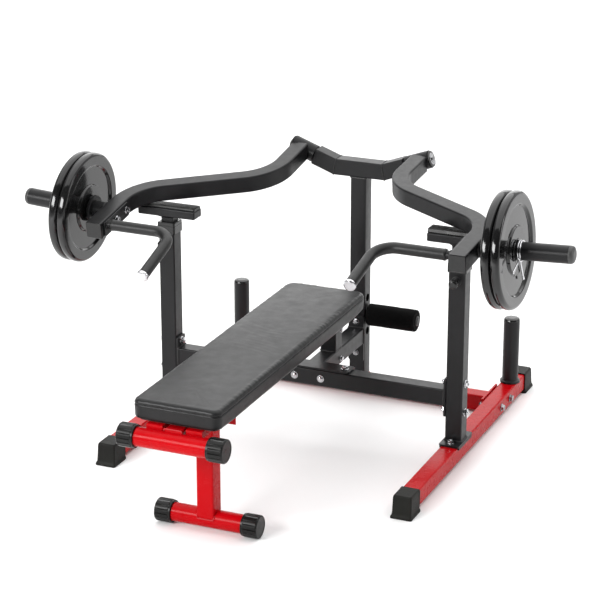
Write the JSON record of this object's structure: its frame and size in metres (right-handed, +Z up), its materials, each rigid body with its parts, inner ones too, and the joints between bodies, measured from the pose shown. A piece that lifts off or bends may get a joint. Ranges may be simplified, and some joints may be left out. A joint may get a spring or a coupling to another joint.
{
  "type": "lever-arm bench press machine",
  "caption": "Plate-loaded lever-arm flat bench press machine with two S-shaped arms on tilted pivots, bent handles, height-set arm rests, a padded bench and foam leg rollers.",
  "frame": {"origin": "on the floor, at the middle of the whole machine's outline as seen from above, plates and handles included, which is 7.7 mm to the -X side of the bench's mid plane because the two arms rest at different heights", "axes": "+X is to the right of someone who stands at the bench's foot end and looks at the mast, +Y runs from the foot end of the bench toward the mast, +Z up"},
  "size_m": [1.6826, 1.5813, 0.8773],
  "materials": {
    "black_powder_coat": "satin powder coat",
    "red_powder_coat": "gloss powder coat",
    "chrome": "polished",
    "black_rubber": "matte",
    "black_plastic": "matte",
    "grey_plastic": "matte",
    "black_vinyl": "satin upholstery vinyl",
    "black_foam": "foam",
    "black_board": "painted board",
    "black_enamel_iron": "gloss enamel"
  },
  "bodies": {
    "frame": {"upright_left": "black_powder_coat", "upright_right": "black_powder_coat", "storage_post_left": "black_powder_coat", "storage_post_right": "black_powder_coat", "crossbeam": "black_powder_coat", "mast": "black_powder_coat", "top_crossbar": "black_powder_coat", "bench_link": "black_powder_coat", "bench_post_rear": "black_powder_coat", "roller_bar": "black_powder_coat", "foot_left": "red_powder_coat", "foot_right": "red_powder_coat", "rear_crossmember": "red_powder_coat", "bench_spine": "red_powder_coat", "bench_front_leg": "red_powder_coat", "pad_bracket_front": "red_powder_coat", "pad_bracket_rear": "red_powder_coat", "base_bolts_left": "chrome", "base_bolts_right": "chrome", "beam_bolts_left": "chrome", "beam_bolts_right": "chrome", "pivot_bolt_left": "chrome", "pivot_bolt_right": "chrome", "link_bolts": "chrome", "foot_cap_front_left": "black_rubber", "foot_cap_front_right": "black_rubber", "foot_cap_rear_left": "black_rubber", "foot_cap_rear_right": "black_rubber", "leg_cap_left": "black_rubber", "leg_cap_right": "black_rubber", "head_cap_left": "black_rubber", "head_cap_right": "black_rubber", "bushing_left": "black_plastic", "bushing_right": "black_plastic", "bench_pad": "black_vinyl", "pad_board": "black_board"},
    "arm_left": {"arm_left": "black_powder_coat", "sleeve_cap_left": "grey_plastic", "handle_left": "black_powder_coat", "grip_left": "black_rubber", "handle_cap_left": "chrome"},
    "plates_left": {"plate_inner_left": "black_enamel_iron", "plate_outer_left": "black_enamel_iron", "spring_collar_left": "chrome"},
    "rest_left": {"rest_left": "black_powder_coat", "rest_pad_left": "black_rubber"},
    "knob_left": {"pull_knob_left": "black_plastic"},
    "roller_left": {"foam_roller_left": "black_foam"},
    "arm_right": {"arm_right": "black_powder_coat", "sleeve_cap_right": "grey_plastic", "handle_right": "black_powder_coat", "grip_right": "black_rubber", "handle_cap_right": "chrome"},
    "plates_right": {"plate_inner_right": "black_enamel_iron", "plate_outer_right": "black_enamel_iron", "spring_collar_right": "chrome"},
    "rest_right": {"rest_right": "black_powder_coat", "rest_pad_right": "black_rubber"},
    "knob_right": {"pull_knob_right": "black_plastic"},
    "roller_right": {"foam_roller_right": "black_foam"}
  },
  "joints": [
    {"name": "arm_right_pivot", "type": "hinge", "parent": "frame", "child": "arm_right", "pos_m": [0.19197, 0.53265, 0.76251], "axis": [-0.9397, 0, -0.342], "range_deg": [0, 42]},
    {"name": "plates_right_spin", "type": "hinge", "parent": "arm_right", "child": "plates_right", "pos_m": [0.6558, -0.02021, 0.71444], "axis": [0.9984, -0.0119, 0.0561], "continuous": true},
    {"name": "rest_right_slide", "type": "slide", "parent": "frame", "child": "rest_right", "axis": [0, 0, 1], "range_m": [-0.03, 0]},
    {"name": "knob_right_pull", "type": "slide", "parent": "frame", "child": "knob_right", "axis": [0, -1, 0], "range_m": [0, 0.01], "stiffness_N_per_m": 900, "springref_m": -0.004},
    {"name": "roller_right_spin", "type": "hinge", "parent": "frame", "child": "roller_right", "pos_m": [0.11566, 0.53265, 0.2585], "axis": [1, 0, 0], "continuous": true},
    {"name": "arm_left_pivot", "type": "hinge", "parent": "frame", "child": "arm_left", "pos_m": [-0.17665, 0.53265, 0.76251], "axis": [-0.9397, 0, 0.342], "range_deg": [0, 42]},
    {"name": "plates_left_spin", "type": "hinge", "parent": "arm_left", "child": "plates_left", "pos_m": [-0.65581, -0.00157, 0.67234], "axis": [-0.9984, 0.0119, 0.0561], "continuous": true},
    {"name": "rest_left_slide", "type": "slide", "parent": "frame", "child": "rest_left", "axis": [0, 0, 1], "range_m": [-0.012, 0]},
    {"name": "knob_left_pull", "type": "slide", "parent": "frame", "child": "knob_left", "axis": [0, -1, 0], "range_m": [0, 0.01], "stiffness_N_per_m": 900, "springref_m": -0.004},
    {"name": "roller_left_spin", "type": "hinge", "parent": "frame", "child": "roller_left", "pos_m": [-0.10034, 0.53265, 0.2585], "axis": [1, 0, 0], "continuous": true}
  ]
}
